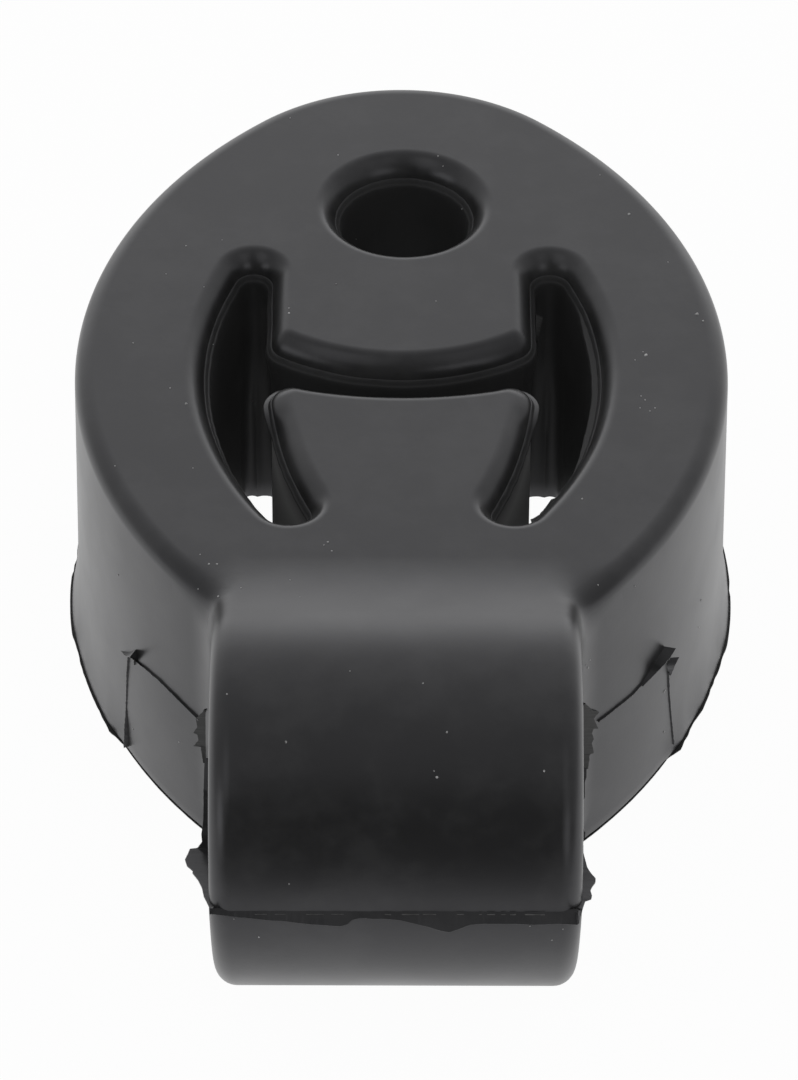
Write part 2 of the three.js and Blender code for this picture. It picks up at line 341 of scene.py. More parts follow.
def holeProfile(draft):
    # from a ring on the back face, over its sharp edge, up the drafted wall to the mouth
    upper = mouthProfile(body["thickness"])
    top = upper[0]
    slope = math.tan(math.radians(draft))
    height = np.linspace(0, top[0], 14)[:-1]
    wall = np.stack([height, top[1] - slope * (top[0] - height)], 1)
    rim = [(0, wall[0, 1] + mouth["flatRing"])]
    return np.concatenate([rim, wall, upper])


def mouthShare(profile):
    # how much each row follows the ridges: fully at the ledge, less down the wall, not at the face
    height = np.asarray(profile)[:, 0]
    depth = body["thickness"] - height
    ledge = mouth["lip"] + mouth["ledgeDepth"] + 0.2
    return np.interp(depth, [0, mouth["lip"] * 0.4, mouth["lip"], ledge, ledge + 1.2, 40],
                     [0, 0.1, 1, 1, 0.15, 0.15])


def voidCorners(points):
    # the ledge juts out at the anvil's two top corners, and is broad along the crescents' outside
    x, y = points.T
    cornerX = void["anvilHalfWidth"] - void["cornerIn"]
    cornerY = void["tongueTipY"] - void["slot"] - void["cornerDrop"]
    near = np.exp(-(np.hypot(np.abs(x) - cornerX, y - cornerY) / void["cornerSpan"]) ** 4)
    low = smooth(void["broadTop"] - y, 0, 6) * smooth(y - void["broadFoot"], 0, 7)
    left = void["leftLedge"] * (x < -void["broadX"])
    return near, -low * np.where(x > void["broadX"], void["rightLedge"], left)


def voidDepths(outline, height):
    # below the ledge the anvil's flanks lie farther in, and the crescents' tops are squarer at the back
    (x, y), (nx, ny) = outline[0].T, outline[1].T
    x, below = np.abs(x), void["flankTop"] - y
    inner = smooth(void["flankX"] - x, 0, 1.2)
    flank = inner * smooth(x - 5, 0, 1) * smooth(below, 0, 1.5) * smooth(ny, -0.97, -0.6)
    tongue = inner * smooth(x - 11, 0, 0.6) * smooth(-below, 0, 1) * (np.abs(nx) > 0.5)
    cap = np.abs(2 * nx * ny) * smooth(y, void["capY"], void["capY"] + 1)
    cap = cap * (x > void["tongueHalfWidth"] - 0.1)
    under = smooth(ledgeFoot - height, 0.15, 0.5)[:, None]
    back, lower = smooth(20 - height, 0, 10)[:, None], smooth(27 - height, 0, 3)[:, None]
    shift = void["flankShift"] * np.maximum(under * flank, lower * tongue)
    return shift + back * void["capSquare"] * cap


def wallProfile():
    # from a ring on the back face, round the back edge, up the drafted wall and over the top edge
    thick, top, back = body["thickness"], body["topEdge"], body["backEdge"]
    up, over = quarter(4)
    start = [(0, wallFoot - back - mouth["flatRing"]), (0, wallFoot - back)]
    low = np.stack([back * (1 - over), wallFoot - back + back * up], 1)
    height = back + (thick - top - back) * np.linspace(0, 1, 15)[1:] ** 1.3
    wall = np.stack([height, draftSlope * (thick - height)], 1)
    up, over = quarter(14)
    edge = np.stack([thick - top + top * up, -top * (1 - over) + draftSlope * top * over], 1)
    return np.concatenate([start, low, wall, edge, [(thick, -top - mouth["flatRing"])]])


def bodyMesh():
    shell = Shell()
    oval = ovalOutline(body["spacing"])
    outlines = [(voidOutline(void["spacing"]), holeProfile(void["draft"])),
                (circleOutline((bore["centreX"], bore["centreY"]), bore["radius"] + mouth["ledge"],
                               void["spacing"]), holeProfile(bore["draft"]))]
    for (points, normals), profile in outlines:
        points[:, 1] += mouth["rise"]
    points = outlines[0][0][0]
    beside = np.clip((np.abs(points[:, 0]) - void["crescentX"]) / 4, 0, 1)
    points[:, 0] += void["crescentShift"] * beside
    profile = wallProfile()
    near = np.clip(1 - profile[:, :1] / rim["flare"], 0, 1) ** rim["power"]
    flare, even = np.maximum(rimWidth(oval[0]) - rim["tip"], 0), range(-rim["even"], rim["even"] + 1)
    flare = sum(np.roll(flare, step) for step in even) / len(even)
    wall = carried(oval, profile, near * flare)
    shell.add(wall, gridFaces(*wall.shape[:2]))
    rims = []
    for order, (outline, profile) in enumerate(outlines):
        share, height = mouthShare(profile)[:, None], profile[:, :1]
        inner, count = height < lipFoot - 0.1, len(outline[0])
        uneven = share * wander(count, mouth["wander"], (7, 40), 5 + order)
        uneven = uneven + share * inner * wander(count, mouth["wander"], (20, 110), 15 + order)
        if order == 0:
            near, broad = voidCorners(outline[0])
            jut, under = -void["cornerReach"] * near, height < ledgeFoot + 0.02
            uneven = uneven + share * jut * np.where(under, 1, 0.3) + share * under * broad
            uneven = uneven + voidDepths(outline, profile[:, 0])
        surface = carried(outline, profile, uneven)
        if order == 0:
            rows = [lipFoot - 3.5, lipFoot - 0.8, lipFoot, body["thickness"]]
            lift = np.interp(height, rows, [0, 1, 1, 0])
            surface[..., 2] += void["cornerLift"] * lift * near
        shell.add(surface, gridFaces(*surface.shape[:2], inward=True))
        rims.append(surface)
    for end, height in ((-1, body["thickness"]), (0, 0)):
        corners, faces = flatFace(wall[end, :, :2], [rim[end, :, :2] for rim in rims], body["grid"])
        shell.add(placed(corners, height), faces)
    return shell.build("body_surface")


def eyeOutline(spacing):
    # side view, as (y, z): upper blend, round eye, lower blend, then the root inside the body
    tilt = math.atan2(blendRise, blendReach)
    y, centre, half = eye["centreY"] + blendReach, (eye["centreY"], midHeight), math.pi / 2
    top, low = body["thickness"] - eye["sunk"], eye["sunk"]
    root = eye["root"]
    return joinStretches([
        arcStretch((y, top + eye["blend"]), eye["blend"], -half, -math.pi + tilt, spacing, 1),
        arcStretch(centre, eye["radius"], tilt, 2 * math.pi - tilt, spacing, 1),
        arcStretch((y, low - eye["blend"]), eye["blend"], math.pi - tilt, half, spacing, 1),
        arcStretch((y, low + root), root, -half, 0, spacing, 1),
        lineStretch((y + root, low + root), (y + root, top - root), spacing, 1),
        arcStretch((y, top - root), root, 0, half, spacing, 1),
    ])


def eyeDraft(height):
    # the sides draw in below the parting line only
    return 1 - eye["draft"] * np.clip((midHeight - height) / eye["radius"], 0, 1)


def twoSided(side, count):
    # one side's profile and its mirror image, with a straight stretch of count points between them
    start, out = side[0]
    middle = np.stack([np.linspace(-start, start, count + 2)[1:-1], np.full(count, out)], 1)
    return np.concatenate([side[::-1] * np.array([-1, 1]), middle, side])


def eyeMesh():
    # the side view carried across along X, with rounded edges, two flat sides and the cross bore
    shell = Shell()
    half, edge = eye["width"] / 2, eye["edge"]
    up, over = quarter(10)
    corner = np.stack([half - edge + edge * up, -edge * (1 - over)], 1)
    side = np.concatenate([[(half - edge, 0)], corner, [(half, -edge - mouth["flatRing"])]])
    skin = carried(eyeOutline(eye["spacing"]), twoSided(side, 24))
    circle = circleOutline((eye["centreY"], midHeight), eye["bore"] + mouth["ledge"], eye["boreSpacing"])
    tube = carried(circle, twoSided(mouthProfile(half), 14))
    for surface, inward in ((skin, False), (tube, True)):
        shell.add(surface[..., [2, 0, 1]], gridFaces(*surface.shape[:2], inward=inward))
    for end, x in ((0, -half), (-1, half)):
        corners, faces = flatFace(skin[end, :, :2], [tube[end, :, :2]], eye["grid"])
        shell.add(placed(corners, x)[:, [2, 0, 1]], faces)
    mesh = shell.build("eye_surface")
    points = readPoints(mesh)
    points[:, 0] = points[:, 0] * eyeDraft(points[:, 2]) + eye["offset"]
    writePoints(mesh, points)
    return mesh


def united(name, first, second):
    # the two closed surfaces as one skin
    keeper, tool = newObject(name, first), newObject(name + "_tool", second)
    cut = keeper.modifiers.new("join", "BOOLEAN")
    cut.operation, cut.object, cut.solver = "UNION", tool, "EXACT"
    graph = bpy.context.evaluated_depsgraph_get()
    mesh = bpy.data.meshes.new_from_object(keeper.evaluated_get(graph))
    bpy.data.objects.remove(tool)
    bpy.data.objects.remove(keeper)
    mesh.name = name
    return mesh


def rounded(first, second, radius):
    # signed distance of the corner between two faces, with the corner rounded off
    a, b = first + radius, second + radius
    return np.minimum(np.maximum(a, b), 0) + np.hypot(np.maximum(a, 0), np.maximum(b, 0)) - radius


def bodyDistance(points):
    # signed distance to the body's outside, negative within
    x, y, z = points.T
    x, y = np.abs(x), np.abs(y)
    atEnd = sideCentre * y - endCentre * (x + sideCentre) > 0
    across = np.where(atEnd, np.hypot(x, y - endCentre) - body["endRadius"],
                      np.hypot(x + sideCentre, y) - sideRadius)
    across = across - draftSlope * (body["thickness"] - z)
    return np.maximum(rounded(across, z - body["thickness"], body["topEdge"]),
                      rounded(across, -z, body["backEdge"]))


def eyeDistance(points):
    # signed distance to the eye's outside, without its bore
    x, y, z = points.T
    u, rise = y - eye["centreY"], np.abs(z - midHeight)
    blend = eye["blend"] - np.hypot(u - blendReach, rise - blendRise)
    side = np.where(blendReach * rise - blendRise * u > 0, np.hypot(u, rise) - eye["radius"], blend)
    side = np.where(u > blendReach, rise - (midHeight - eye["sunk"]), side)
    across = np.abs((x - eye["offset"]) / eyeDraft(z)) - eye["width"] / 2
    return rounded(side, across, eye["edge"])


def gradient(field, points, step=0.01):
    parts = []
    for axis in np.eye(3) * step:
        parts.append((field(points + axis) - field(points - axis)) / (2 * step))
    return np.stack(parts, 1)


def ball(count):
    # evenly spread steps in a ball of radius 1: shells at three radii, turned by the golden angle
    index = np.arange(count)
    height = 1 - 2 * (index + 0.5) / count
    turn = index * math.pi * (3 - math.sqrt(5))
    level = np.sqrt(1 - height ** 2)
    steps = np.stack([level * np.cos(turn), level * np.sin(turn), height], 1)
    return steps * np.array([1.0, 0.72, 0.4])[index % 3][:, None]


# How eye and body melt together: reach of the blend, where it fades out, and the soft front corners.
melt = {
    "join": 2.2, "spans": (0.8, 0.55), "skin": 0.02, "least": 1e-4, "behind": 2.0, "fade": 4.0,
    "slack": 1.3, "backMost": 12.0, "sideFrom": 3.6, "sideTo": 1.4, "turn": 0.12, "blur": 1.7,
    "blurFrom": 1.0, "blurReach": 7.0, "cornerIn": 0.6, "cornerY": -32.4, "samples": 30, "rounds": 4, "flattest": 0.2,
}


def blurSize(points):
    # how far the two front corners between eye and body are softened
    x, y, z = (points - np.array([eye["offset"], 0, 0])).T
    beside = np.stack([np.abs(x), y, z], 1)
    corner = np.array([eye["width"] / 2 - melt["cornerIn"], melt["cornerY"], body["thickness"]])
    away = np.linalg.norm(beside - corner, axis=1)
    return melt["blur"] * (1 - smooth(away, melt["blurFrom"], melt["blurReach"]))


def meltJoin(mesh):
    # Where eye and body meet, the points move onto f = min(a, b) - h^2 k / 4, with a and b the distances
    # to the two, h = 1 - |a - b| / k, and k growing with the angle between the two surfaces. At the two
    # front corners f is averaged over a small ball.
    work = bmesh.new()
    work.from_mesh(mesh)
    for span in melt["spans"]:
        bmesh.ops.triangulate(work, faces=work.faces)
        points = np.array([tuple(v.co) for v in work.verts])
        a, b = bodyDistance(points), eyeDistance(points)
        near = np.maximum(np.abs(a), np.abs(b)) < melt["join"] * 0.9
        near &= (points[:, 1] > eye["centreY"] - melt["behind"]) & (points[:, 1] < 0)
        near |= (np.abs(np.minimum(a, b)) < melt["skin"]) & (blurSize(points) > 0.02)
        ends = np.array([[v.index for v in e.verts] for e in work.edges])
        long = np.linalg.norm(points[ends[:, 0]] - points[ends[:, 1]], axis=1) > span
        work.edges.ensure_lookup_table()
        chosen = [work.edges[i] for i in np.flatnonzero(long & near[ends].all(1))]
        bmesh.ops.subdivide_edges(work, edges=chosen, cuts=1, use_grid_fill=False)
        work.verts.index_update()
    bmesh.ops.triangulate(work, faces=work.faces)
    points = np.array([tuple(v.co) for v in work.verts])
    a, b = bodyDistance(points), eyeDistance(points)
    turn = 1 - (gradient(bodyDistance, points) * gradient(eyeDistance, points)).sum(1)
    back = np.clip(eye["centreY"] + blendReach - points[:, 1], 0, melt["backMost"])
    rise = eye["blend"] - np.sqrt(eye["blend"] ** 2 - back ** 2)
    tall = smooth(np.abs(points[:, 2] - midHeight), midHeight - melt["fade"], midHeight)
    most = melt["join"] * (1 - tall) + np.minimum(melt["join"], melt["slack"] * rise) * tall
    half = eye["width"] / 2
    across = np.abs(points[:, 0] - eye["offset"])
    beside = smooth(across, half - melt["sideFrom"], half - melt["sideTo"])
    k = np.maximum(most * beside * np.clip(turn / melt["turn"], 0, 1), melt["least"])
    onSkin = np.abs(np.minimum(a, b)) < melt["skin"]
    onSkin &= np.minimum(np.abs(a), np.abs(b)) < melt["skin"]
    blur = blurSize(points)
    moved = onSkin & ((np.abs(a - b) < k) | (blur > 0.01)) & (points[:, 1] < 0)
    chosen, width, size = points[moved], k[moved], blur[moved, None]
    steps = ball(melt["samples"])

    def field(where):
        total = 0
        for step in steps:
            one, two = bodyDistance(where + step * size), eyeDistance(where + step * size)
            h = np.clip(1 - np.abs(one - two) / width, 0, 1)
            total = total + np.minimum(one, two) - h * h * width / 4
        return total / len(steps)

    for _ in range(melt["rounds"]):
        slope = gradient(field, chosen)
        steep = np.maximum((slope ** 2).sum(1), melt["flattest"])
        chosen = chosen - (field(chosen) / steep)[:, None] * slope
    points[moved] = chosen
    work.to_mesh(mesh)
    work.free()
    writePoints(mesh, points)
    print("points moved at the join", int(moved.sum()))
    return mesh


def settle(mesh, crease=35):
    # Puts a mesh drawn in millimetres on the frame and shades it smooth, apart from its sharp edges.
    # Two attributes guide the material: recess, inside the openings, which carries painted shade and a painted glow
    # there, and a second one on the anvil's flanks, which paints light onto those walls as a paler colour.
    points = readPoints(mesh)
    writePoints(mesh, toFrame(points))
    height = points[:, 2]
    x, y = np.abs(points[:, 0]), points[:, 1]
    level = np.stack([points[:, 0], y, np.full(len(y), midHeight)], 1)
    within = (bodyDistance(level) < -3) * (y > -25)
    deep = within * smooth(body["thickness"] - height, 1.6, 2.4) * (height > 0.01)
    # painted light: a mask on the anvil's flanks, where the material turns pale grey in place of the light these
    # walls catch
    flank = within * smooth(x, 6, 7.5) * smooth(13 - x, 0, 0.8) * smooth(-4.6 - y, 0, 1.2)
    flank = flank * smooth(ledgeFoot - height, 0.4, 3)
    for name, values in (("recess", deep), ("bloom", flank)):
        mesh.attributes.new(name, "FLOAT", "POINT").data.foreach_set("value", values)
    mesh.shade_smooth()
    mesh.set_sharp_from_angle(angle=math.radians(crease))
    mesh.update()
    return mesh


# Materials
class Wire:
    # an output socket; arithmetic on it adds Math nodes
    def __init__(self, bench, socket):
        self.bench, self.socket = bench, socket

    def math(self, operation, *others):
        return self.bench.node("Math", {"operation": operation}, [self, *others])

    def __add__(self, other): return self.math("ADD", other)
    def __radd__(self, other): return self.math("ADD", other)
    def __mul__(self, other): return self.math("MULTIPLY", other)
    def __rmul__(self, other): return self.math("MULTIPLY", other)
    def __sub__(self, other): return self.math("SUBTRACT", other)
    def __rsub__(self, other): return self.bench.node("Math", {"operation": "SUBTRACT"}, [other, self])
    def __truediv__(self, other): return self.math("DIVIDE", other)
    def clipped(self): return self.bench.node("Clamp", {}, [self])
    def above(self, low, high):
        # 0 below low, 1 above high, smooth between
        return self.bench.node("MapRange", {"interpolation_type": "SMOOTHSTEP"},
                               {"Value": self, "From Min": low, "From Max": high})


class Bench:
    # one node tree; node() makes any shader node from its type, settings and sockets
    def __init__(self, tree):
        self.tree = tree
        tree.nodes.clear()

    def node(self, kind, settings=None, sockets=None, output=0):
        made = self.tree.nodes.new("ShaderNode" + kind)
        for key, value in (settings or {}).items():
            if key == "stops":
                self.setStops(made.color_ramp, value)
            else:
                setattr(made, key, value)
        pairs = enumerate(sockets) if isinstance(sockets, list) else (sockets or {}).items()
        for key, value in pairs:
            if isinstance(value, Wire):
                self.tree.links.new(value.socket, made.inputs[key])
            else:
                made.inputs[key].default_value = value
        return Wire(self, made.outputs[output]) if made.outputs else None

    def mixed(self, share, first, second):
        made = self.tree.nodes.new("ShaderNodeMix")
        made.data_type = "RGBA"
        for socket, value in ((0, share), (6, first), (7, second)):
            if isinstance(value, Wire):
                self.tree.links.new(value.socket, made.inputs[socket])
            else:
                made.inputs[socket].default_value = (*value, 1)
        return Wire(self, made.outputs[2])

    def setStops(self, ramp, stops):
        while len(ramp.elements) < len(stops):
            ramp.elements.new(0.5)
        for element, (place, shade) in zip(ramp.elements, stops):
            element.position = place
            element.color = (*shade, 1) if isinstance(shade, tuple) else (shade, shade, shade, 1)


def noise(bench, where, scale, detail=3.0, roughness=0.55):
    return bench.node("TexNoise", {"noise_dimensions": "3D"},
                      {"Vector": where, "Scale": scale, "Detail": detail, "Roughness": roughness})


# Some of these values paint light and shade: a pale colour on the anvil's flanks, a faint glow over the whole rubber,
# and a less reflective shaded copy in the recesses.
rubberLook = {
    "colour": (0.0125, 0.0125, 0.0127), "pale": (0.019, 0.019, 0.0192), "bloom": (0.3, 0.3, 0.3),
    "roughness": 0.3, "smudgeRough": 0.05, "cloudRough": 0.03, "recess": 0.3, "index": 1.56,
    "tint": (0.985, 0.985, 1.04, 1), "paintedGlow": 0.0075, "clear": 0.22, "paintedGlowDeep": 0.3, "paintedGlowDeepCut": 0.85,
    "paintedRecessShade": 0.6, "paintedRecessShadeIndex": 1.3, "paintedRecessShadeRough": 0.55, "smudge": 90.0, "cloud": 28.0, "paintedGlowPatches": 170.0,
    "grain": 2600.0, "grainDepth": 0.00004, "grainShare": 0.1,
}
# painted highlight: pale grey for the crumbs along the eye's parting line, in place of the light they catch
paintedHighlightLook = {"colour": (0.13, 0.13, 0.13), "roughness": 0.6}
tornLook = {"colour": (0.012, 0.012, 0.012), "roughness": 0.5, "level": 0.22}
dustLook = {"colour": (0.62, 0.62, 0.62), "roughness": 0.8}


def blackMaterial(name):
    material = bpy.data.materials.new(name)
    material.use_nodes = True
    bench = Bench(material.node_tree)
    return material, bench, bench.node("TexCoord", output=3)


def rubberMaterial():
    look = rubberLook
    material, bench, where = blackMaterial("moulded_rubber")
    smudge = noise(bench, where, look["smudge"])
    cloud = noise(bench, where, look["cloud"], 4.0, 0.6)
    grain = noise(bench, where, look["grain"], 2.0)
    recess, bloom = (bench.node("Attribute", {"attribute_name": name}, output=2)
                     for name in ("recess", "bloom"))
    colour = bench.mixed(smudge.above(0.42, 0.75) * cloud.above(0.4, 0.7), look["colour"], look["pale"])
    rough = smudge.above(0.35, 0.75) * look["smudgeRough"] + cloud.above(0.3, 0.7) * look["cloudRough"]
    rough = (rough + look["roughness"] + recess * look["recess"]).clipped()
    # painted glow: the rubber emits a faint light of its own, mottled in patches, with a steadier share of white in
    # the recesses to lift the dark inside the openings
    paintedGlowPatches = noise(bench, where, look["paintedGlowPatches"], 5.0, 0.65).above(0.4, 0.68)
    paintedGlowPatches = paintedGlowPatches * (1 - recess * look["paintedGlowDeepCut"]) + recess * look["paintedGlowDeep"]
    shared = {
        # painted light: on the anvil's flanks the colour turns pale grey, standing in for light the walls catch
        "Base Color": bench.mixed(bloom, colour, look["bloom"]),
        "Normal": bench.node("Bump", {}, {
            "Strength": look["grainShare"], "Distance": look["grainDepth"], "Height": grain}),
        # painted glow: emission, grey with white patches, at a low strength
        "Emission Color": bench.mixed(paintedGlowPatches, (look["clear"],) * 3, (1, 1, 1)),
        "Emission Strength": look["paintedGlow"]}
    glossy = bench.node("BsdfPrincipled", {}, {
        **shared, "Roughness": rough, "IOR": look["index"], "Specular Tint": look["tint"]})
    # painted shade: a copy of the rubber with a lower index and more roughness reflects less; it is mixed in by
    # recess, darkening the insides of the openings
    paintedRecessShade = bench.node("BsdfPrincipled", {}, {
        **shared, "Roughness": look["paintedRecessShadeRough"], "IOR": look["paintedRecessShadeIndex"]})
    surface = bench.node("MixShader", {}, [recess * look["paintedRecessShade"], glossy, paintedRecessShade])
    bench.node("OutputMaterial", {}, {"Surface": surface})
    return material


def plainMaterial(name, look, scale):
    material, bench, where = blackMaterial(name)
    patch = noise(bench, where, scale)
    darker = tuple(0.6 * part for part in look["colour"])
    surface = bench.node("BsdfPrincipled", {}, {
        "Base Color": bench.mixed(patch.above(0.35, 0.65), darker, look["colour"]),
        "Roughness": look["roughness"], "Specular IOR Level": look.get("level", 0.3)})
    bench.node("OutputMaterial", {}, {"Surface": surface})
    return material


def whiteMaterial():
    material = bpy.data.materials.new("pale_table")
    material.use_nodes = True
    bench = Bench(material.node_tree)
    path = bench.node("LightPath").socket.node.outputs
    direct, glossy, through = (Wire(bench, path[f"Is {kind} Ray"])
                               for kind in ("Camera", "Glossy", "Transmission"))
    seen = (direct + glossy + through).clipped()
    spot = bench.node("TexCoord", output=3)
    # the table in front of the part gives it less light than the table behind it
    far = bench.node("SeparateXYZ", {}, [spot], output=1).above(*studio["tableEdge"])
    dim = studio["tableFront"]
    shade = (far * (1 - dim) + dim) * (1 - direct) + direct
    glow = bench.node("Emission", {}, {"Color": (1, 1, 1, 1), "Strength": shade})
    paper = bench.node("BsdfDiffuse", {}, {"Color": (0.9, 0.9, 0.9, 1)})
    surface = bench.node("MixShader", {}, [seen * studio["tableShine"], paper, glow])
    bench.node("OutputMaterial", {}, {"Surface": surface})
    return material


# Studio light, by how far a direction leans to the back (+Y): dark from the front, soft overhead,
# brightest at the back.
studio = {
    "stops": [(0.0, 0.05), (0.05, 0.02), (0.1, 0.04), (0.15, 0.1), (0.22, 0.2), (0.3, 0.31),
              (0.38, 0.38), (0.47, 0.45), (0.56, 0.5), (0.645, 0.55), (0.725, 0.64), (0.8, 0.74),
              (0.87, 0.86), (0.93, 1.38), (0.965, 1.66), (1.0, 1.25)],
    "lamps": [((-0.4, -0.54, 0.74), 0.7), ((0.4, -0.52, 0.75), 0.4), ((-0.82, -0.55, 0.18), 1.3),
              ((0.5, -0.83, 0.24), 1.1)],
    "lampEdge": (0.94, 0.99), "tableEdge": (-0.17, -0.06), "tableFront": 0.25, "tableShine": 0.97,
}


def lightWorld():
    world = bpy.data.worlds.new("studio")
    bpy.context.scene.world = world
    world.use_nodes = True
    bench = Bench(world.node_tree)
    direction = bench.node("TexCoord", output=0)
    parts = bench.node("SeparateXYZ", {}, [direction]).socket.node.outputs
    lean = Wire(bench, parts["Y"]) * 0.5 + 0.5
    top = max(shade for place, shade in studio["stops"])
    ramp = bench.node("ValToRGB", {"stops": [(p, s / top) for p, s in studio["stops"]]}, [lean])
    path = bench.node("LightPath").socket.node.outputs
    extra = 0
    for toward, strength in studio["lamps"]:
        near = bench.node("VectorMath", {"operation": "DOT_PRODUCT"}, [direction, toward], output=1)
        extra = near.above(*studio["lampEdge"]) * (strength / top) + extra
    level = bench.node("SeparateColor", {}, [ramp]) + extra
    shade = bench.node("CombineColor", {}, [level, level, level])
    soft = bench.node("Background", {}, {"Color": shade, "Strength": top})
    white = bench.node("Background", {}, {"Color": (1, 1, 1, 1), "Strength": 1.0})
    shown = bench.node("MixShader", {}, [Wire(bench, path["Is Camera Ray"]), soft, white])
    bench.node("OutputWorld", {}, {"Surface": shown})


def makeFloor():
    mesh = bpy.data.meshes.new("table")
    size = 3.0
    corners = [(-size, -size, 0), (size, -size, 0), (size, size, 0), (-size, size, 0)]
    mesh.from_pydata(corners, [], [(0, 1, 2, 3)])
    table = newObject("table", mesh)
    mesh.materials.append(whiteMaterial())


# Camera of the photograph: focal length from its perspective, place about the body's middle.
view = {
    "lens": 192.66, "size": (798, 1080), "place": (-1.004, -417.144, 378.820),
    "right": (0.9999947, 0.0007810, 0.0031504), "up": (-0.0028708, 0.6657429, 0.7461757),
    "back": (-0.0015146, -0.7461808, 0.6657416),
}


def makeCamera():
    data = bpy.data.cameras.new("camera")
    data.sensor_width, data.sensor_fit, data.lens = 36, "AUTO", view["lens"]
    data.clip_start, data.clip_end = 0.01, 20
    camera = bpy.data.objects.new("camera", data)
    bpy.context.scene.collection.objects.link(camera)
    turn = Matrix((view["right"], view["up"], view["back"])).transposed()
    camera.matrix_world = Matrix.Translation(toFrame(view["place"])) @ turn.to_4x4()
    bpy.context.scene.camera = camera


farBelow = -99


class Sight:
    # finds points of the part behind pixels of the photograph, in millimetres about the body's middle
    def __init__(self, mesh=None):
        if mesh:
            points = readPoints(mesh) / 0.001 - frameShift
            faces = [tuple(face.vertices) for face in mesh.polygons]
            self.tree = BVHTree.FromPolygons([tuple(p) for p in points], faces)
        self.place = np.array(view["place"])
        self.focal = view["lens"] / 36 * view["size"][1]

    def rays(self, pixels):
        pixels = np.atleast_2d(np.asarray(pixels, float))
        x, y = (pixels[:, :1] - view["size"][0] / 2), (pixels[:, 1:2] - view["size"][1] / 2)
        way = np.array([view["right"]]) * x / self.focal - np.array([view["up"]]) * y / self.focal
        way = way - np.array([view["back"]])
        return way / np.linalg.norm(way, axis=1)[:, None]

    def onPlane(self, pixels, through, normal):
        way = self.rays(pixels)
        through, normal = np.asarray(through, float), np.asarray(normal, float)
        length = ((through - self.place) * normal).sum(-1) / (way * normal).sum(-1)
        return self.place + way * length[:, None]

    def onRing(self, pixels, y, z, radius):
        # the near side of a cylinder along X
        way = self.rays(pixels)
        start = self.place[1:] - np.array([y, z])
        a, b = (way[:, 1:] ** 2).sum(1), way[:, 1:] @ start
        inside = np.maximum(b * b - a * (start @ start - radius ** 2), 0)
        return self.place + way * ((-b - np.sqrt(inside)) / a)[:, None]

    def onSkin(self, pixels):
        found = [self.tree.ray_cast(tuple(self.place), tuple(way)) for way in self.rays(pixels)]
        missed = [tuple(pixel) for pixel, hit in zip(pixels, found) if hit[0] is None]
        if missed:
            print("pixels off the part:", missed)
            found = [((0, 0, farBelow), (0, 0, 1)) if hit[0] is None else hit for hit in found]
        return tuple(np.array([tuple(hit[part]) for hit in found]) for part in (0, 1))


def resampled(points, spacing):
    # the same line in even steps
    points = np.asarray(points, float)
    length = np.concatenate([[0], np.cumsum(np.linalg.norm(np.diff(points, axis=0), axis=1))])
    count = max(3, math.ceil(length[-1] / spacing) + 1)
    where = np.linspace(0, length[-1], count)
    return np.stack([np.interp(where, length, column) for column in points.T], 1)


def matched(first, second, spacing):
    # two lines given by the same number of points, in steps that stay opposite each other
    both = resampled(np.concatenate([first, second], 1), spacing)
    return both[:, :3], both[:, 3:]


# Torn sheets: thickness at the root and at the tip, raggedness, step along the edge, and first seed.
tearKinds = {
    "rim": (0.34, 0.14, 0.008, 0.12, 33), "eye": (0.3, 0.14, 0.008, 0.12, 41),
    "root": (0.2, 0.12, 0.015, 0.12, 41), "skirt": (0.32, 0.12, 0.008, 0.12, 51),
    "dash": (0.04, 0.03, 0.02, 0.12, 60), "wall": (0.22, 0.06, 0.02, 0.12, 71),
    "ridge": (0.22, 0.13, 0.02, 0.12, 71), "rag": (0.2, 0.07, 0.03, 0.1, 91),
}


def sheet(shell, base, edge, kind, order=0, closed=False):
    # S(u, v) = base(u) + v (edge(u) - base(u)), with thickness t(v) either side of it and a seeded
    # uneven edge. An open sheet is first put in even steps.
    thick, tip, ragged, step, seed = tearKinds[kind]
    if not closed:
        base, edge = matched(base, edge, step)
    random = np.random.default_rng(seed + order)
    count = len(base)
    shake = random.normal(0, ragged, (count, 3))
    shake = (shake + np.roll(shake, 1, 0) + np.roll(shake, 2, 0)) / 1.7
    edge = edge + shake * 0.6
    along = np.roll(base, -1, 0) - np.roll(base, 1, 0)
    if not closed:
        along[0], along[-1] = base[1] - base[0], base[-1] - base[-2]
    normal = np.cross(along, edge - base)
    normal = normal / np.maximum(np.linalg.norm(normal, axis=1), 1e-9)[:, None]
    shares = np.array([0, 0.35, 0.7, 1, 1, 0.7, 0.35, 0])
    sides = np.array([1, 1, 1, 1, -1, -1, -1, -1])
    half = (thick + (tip - thick) * shares) / 2 * sides
    rumple = random.normal(0, ragged * 0.3, count) * shares[:, None]
    points = base + shares[:, None, None] * (edge - base) + (half[:, None] + rumple)[..., None] * normal
    index = np.arange(len(shares) * count).reshape(len(shares), count)
    after = np.roll(index, -1, 0)
    if closed:
        quads = np.stack([index, np.roll(index, -1, 1), np.roll(after, -1, 1), after], -1)
        shell.add(points, quads.reshape(-1, 4))
    else:
        quads = np.stack([index[:, :-1], index[:, 1:], after[:, 1:], after[:, :-1]], -1)
        shell.add(points, quads.reshape(-1, 4), [index[::-1, 0], index[:, -1]])


